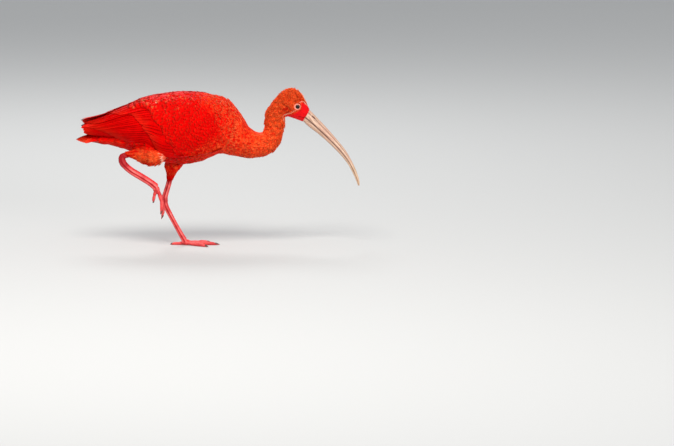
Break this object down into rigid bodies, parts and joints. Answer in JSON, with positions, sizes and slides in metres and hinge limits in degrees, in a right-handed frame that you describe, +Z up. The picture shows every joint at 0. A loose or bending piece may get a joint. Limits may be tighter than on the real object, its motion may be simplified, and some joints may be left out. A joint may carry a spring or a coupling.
{
  "type": "scarlet ibis model",
  "caption": "Life-size still model of a wading scarlet ibis: one leg down, one raised, wings folded, neck drawn in, long curved bill lowered.",
  "frame": {"origin": "middle of the standing foot's sole, on the floor", "axes": "+X forward, towards the bill; +Y to the bird's own left; +Z up"},
  "size_m": [0.4759, 0.1086, 0.265],
  "materials": {
    "body_plumage": "small soft overlapping feathers, red, with lighter orange-red tips on the breast",
    "neck_plumage": "short dense orange-red feathers",
    "wing_plumage": "smooth deep red flight feathers and coverts, black at the tips of the outer primaries",
    "bill_horn": "pale pinkish horn, satin",
    "leg_skin": "salmon pink scaly skin, satin",
    "eye": "dark brown, wet gloss"
  },
  "bodies": {
    "root": {"torso": "body_plumage", "neck_lower": "neck_plumage", "neck_middle": "neck_plumage", "neck_upper": "neck_plumage", "head": "neck_plumage", "eye_right": "eye", "eye_left": "eye", "bill_upper": "bill_horn", "bill_lower": "bill_horn", "wing_right": "wing_plumage", "wing_left": "wing_plumage", "tail": "wing_plumage", "thigh_right": "neck_plumage", "thigh_left": "body_plumage", "shank_right": "leg_skin", "shank_left": "leg_skin", "tarsus_right": "leg_skin", "tarsus_left": "leg_skin", "foot_right": "leg_skin", "foot_left": "leg_skin"}
  },
  "joints": []
}
